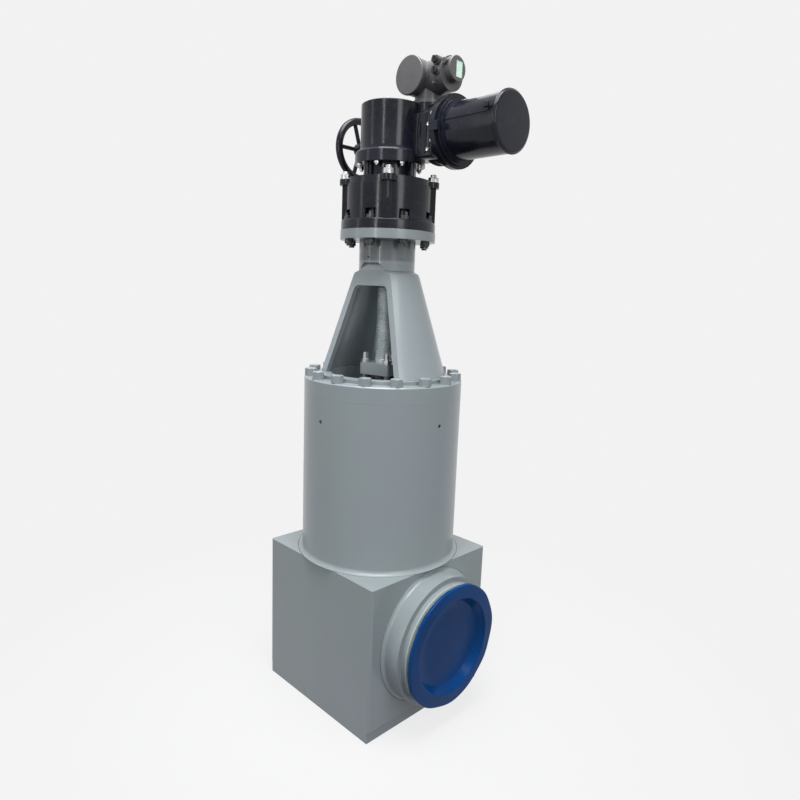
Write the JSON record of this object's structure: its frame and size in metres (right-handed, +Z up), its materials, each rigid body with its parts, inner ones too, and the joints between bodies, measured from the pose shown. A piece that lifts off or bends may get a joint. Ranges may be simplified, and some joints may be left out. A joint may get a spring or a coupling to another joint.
{
  "type": "motor-operated gate valve",
  "caption": "Pressure-seal gate valve with a forged block body, butt-weld ends, windowed cone yoke, electric gear actuator with handwheel, and pipe end caps",
  "frame": {"origin": "centre of the forged block's underside, on the stem axis", "axes": "+Z up along the stem, +X along the pipe towards the outlet and the motor, +Y towards the worm's side of the actuator"},
  "size_m": [0.861, 0.636, 2.388],
  "materials": {
    "body_paint": "gloss grey enamel",
    "yoke_paint": "gloss grey enamel",
    "tube_paint": "satin dark grey enamel",
    "body_steel": "machined steel, satin",
    "hard_facing": "lapped",
    "seal_steel": "soft steel, silvered",
    "bright_fasteners": "zinc plated, bright",
    "dark_fasteners": "satin black",
    "graphite": "matt",
    "bronze": "machined",
    "stem_steel": "turned",
    "actuator_paint": "gloss black enamel",
    "head_paint": "semi-gloss black enamel",
    "bearing_steel": "ground",
    "windings": "varnished",
    "display": "gloss",
    "plug_plastic": "matt",
    "knob_plastic": "satin",
    "cap_plastic": "moulded, semi-gloss"
  },
  "bodies": {
    "valve": {"body_block": "body_paint", "body_neck": "body_paint", "outlet_hub": "body_paint", "inlet_hub": "body_paint", "outlet_seat_ring": "hard_facing", "inlet_seat_ring": "hard_facing", "guide_rails": "body_steel", "bonnet": "body_steel", "seal_ring": "seal_steel", "spacer_ring": "body_steel", "thrust_segments": "body_steel", "retainer_plate": "body_steel", "bonnet_studs": "bright_fasteners", "packing_rings": "graphite", "gland_bush": "bronze", "gland_flange": "yoke_paint", "gland_studs": "bright_fasteners", "yoke": "yoke_paint", "yoke_tube": "tube_paint", "yoke_flange": "yoke_paint", "yoke_bolts": "bright_fasteners", "thrust_housing": "actuator_paint", "flange_bolts": "dark_fasteners", "thrust_bearings": "bearing_steel", "adapter_plate": "actuator_paint", "ear_studs": "bright_fasteners", "coupling_drum": "actuator_paint", "spacer_posts": "actuator_paint", "gearcase": "actuator_paint", "case_bolts": "bright_fasteners", "column_cover": "actuator_paint", "cover_screws": "bright_fasteners", "lower_case_bearing": "bearing_steel", "worm_bearings": "bearing_steel", "motor_flange": "actuator_paint", "motor_housing": "actuator_paint", "motor_end_cap": "actuator_paint", "motor_bolts": "bright_fasteners", "motor_stator": "windings", "lever_pin": "bearing_steel", "head_pedestal": "head_paint", "head_housing": "head_paint", "terminal_cover": "head_paint", "display_bezel": "head_paint", "display_window": "display", "cable_plugs": "plug_plastic"},
    "obturator": {"stem": "stem_steel", "gate": "body_steel"},
    "drive": {"stem_nut": "bronze", "drive_sleeve": "bearing_steel", "worm_wheel": "bronze"},
    "worm": {"worm_shaft": "bearing_steel", "motor_rotor": "windings"},
    "hand": {"handwheel": "actuator_paint", "handwheel_shaft": "bearing_steel"},
    "lever": {"declutch_lever": "bright_fasteners"},
    "mode": {"mode_knob": "knob_plastic"},
    "command": {"command_knob": "knob_plastic"},
    "outlet_cover": {"outlet_cap": "cap_plastic"},
    "inlet_cover": {"inlet_cap": "cap_plastic"}
  },
  "joints": [
    {"name": "handwheel_turn", "type": "hinge", "parent": "valve", "child": "hand", "pos_m": [-0.273, 0.09, 2.13], "axis": [1, 0, 0], "range_deg": [0, 198000]},
    {"name": "worm_turn", "type": "hinge", "parent": "valve", "child": "worm", "pos_m": [0, 0.09, 2.13], "axis": [1, 0, 0], "continuous": true},
    {"name": "sleeve_turn", "type": "hinge", "parent": "valve", "child": "drive", "pos_m": [0, 0, 2.13], "axis": [0, 0, 1], "continuous": true},
    {"name": "stem_lift", "type": "slide", "parent": "valve", "child": "obturator", "axis": [0, 0, 1], "range_m": [0, 0.276]},
    {"name": "lever_swing", "type": "hinge", "parent": "valve", "child": "lever", "pos_m": [-0.112, 0.09, 2.183], "axis": [0, 1, 0], "range_deg": [-40, 0], "stiffness_Nm_per_rad": 0.6},
    {"name": "mode_turn", "type": "hinge", "parent": "valve", "child": "mode", "pos_m": [0.183, 0.02, 2.3565], "axis": [0, -1, 0], "range_deg": [-45, 45]},
    {"name": "command_turn", "type": "hinge", "parent": "valve", "child": "command", "pos_m": [0.183, 0.02, 2.3215], "axis": [0, -1, 0], "range_deg": [-30, 30], "stiffness_Nm_per_rad": 0.03},
    {"name": "outlet_cap_pull", "type": "slide", "parent": "valve", "child": "outlet_cover", "axis": [1, 0, 0], "range_m": [0, 0.45]},
    {"name": "inlet_cap_pull", "type": "slide", "parent": "valve", "child": "inlet_cover", "axis": [-1, 0, 0], "range_m": [0, 0.45]}
  ],
  "couplings": [
    {"joint": "worm_turn", "follows": "handwheel_turn", "ratio": 1},
    {"joint": "sleeve_turn", "follows": "handwheel_turn", "ratio": 0.05},
    {"joint": "stem_lift", "follows": "handwheel_turn", "m_per_rad": 0.000079577}
  ]
}
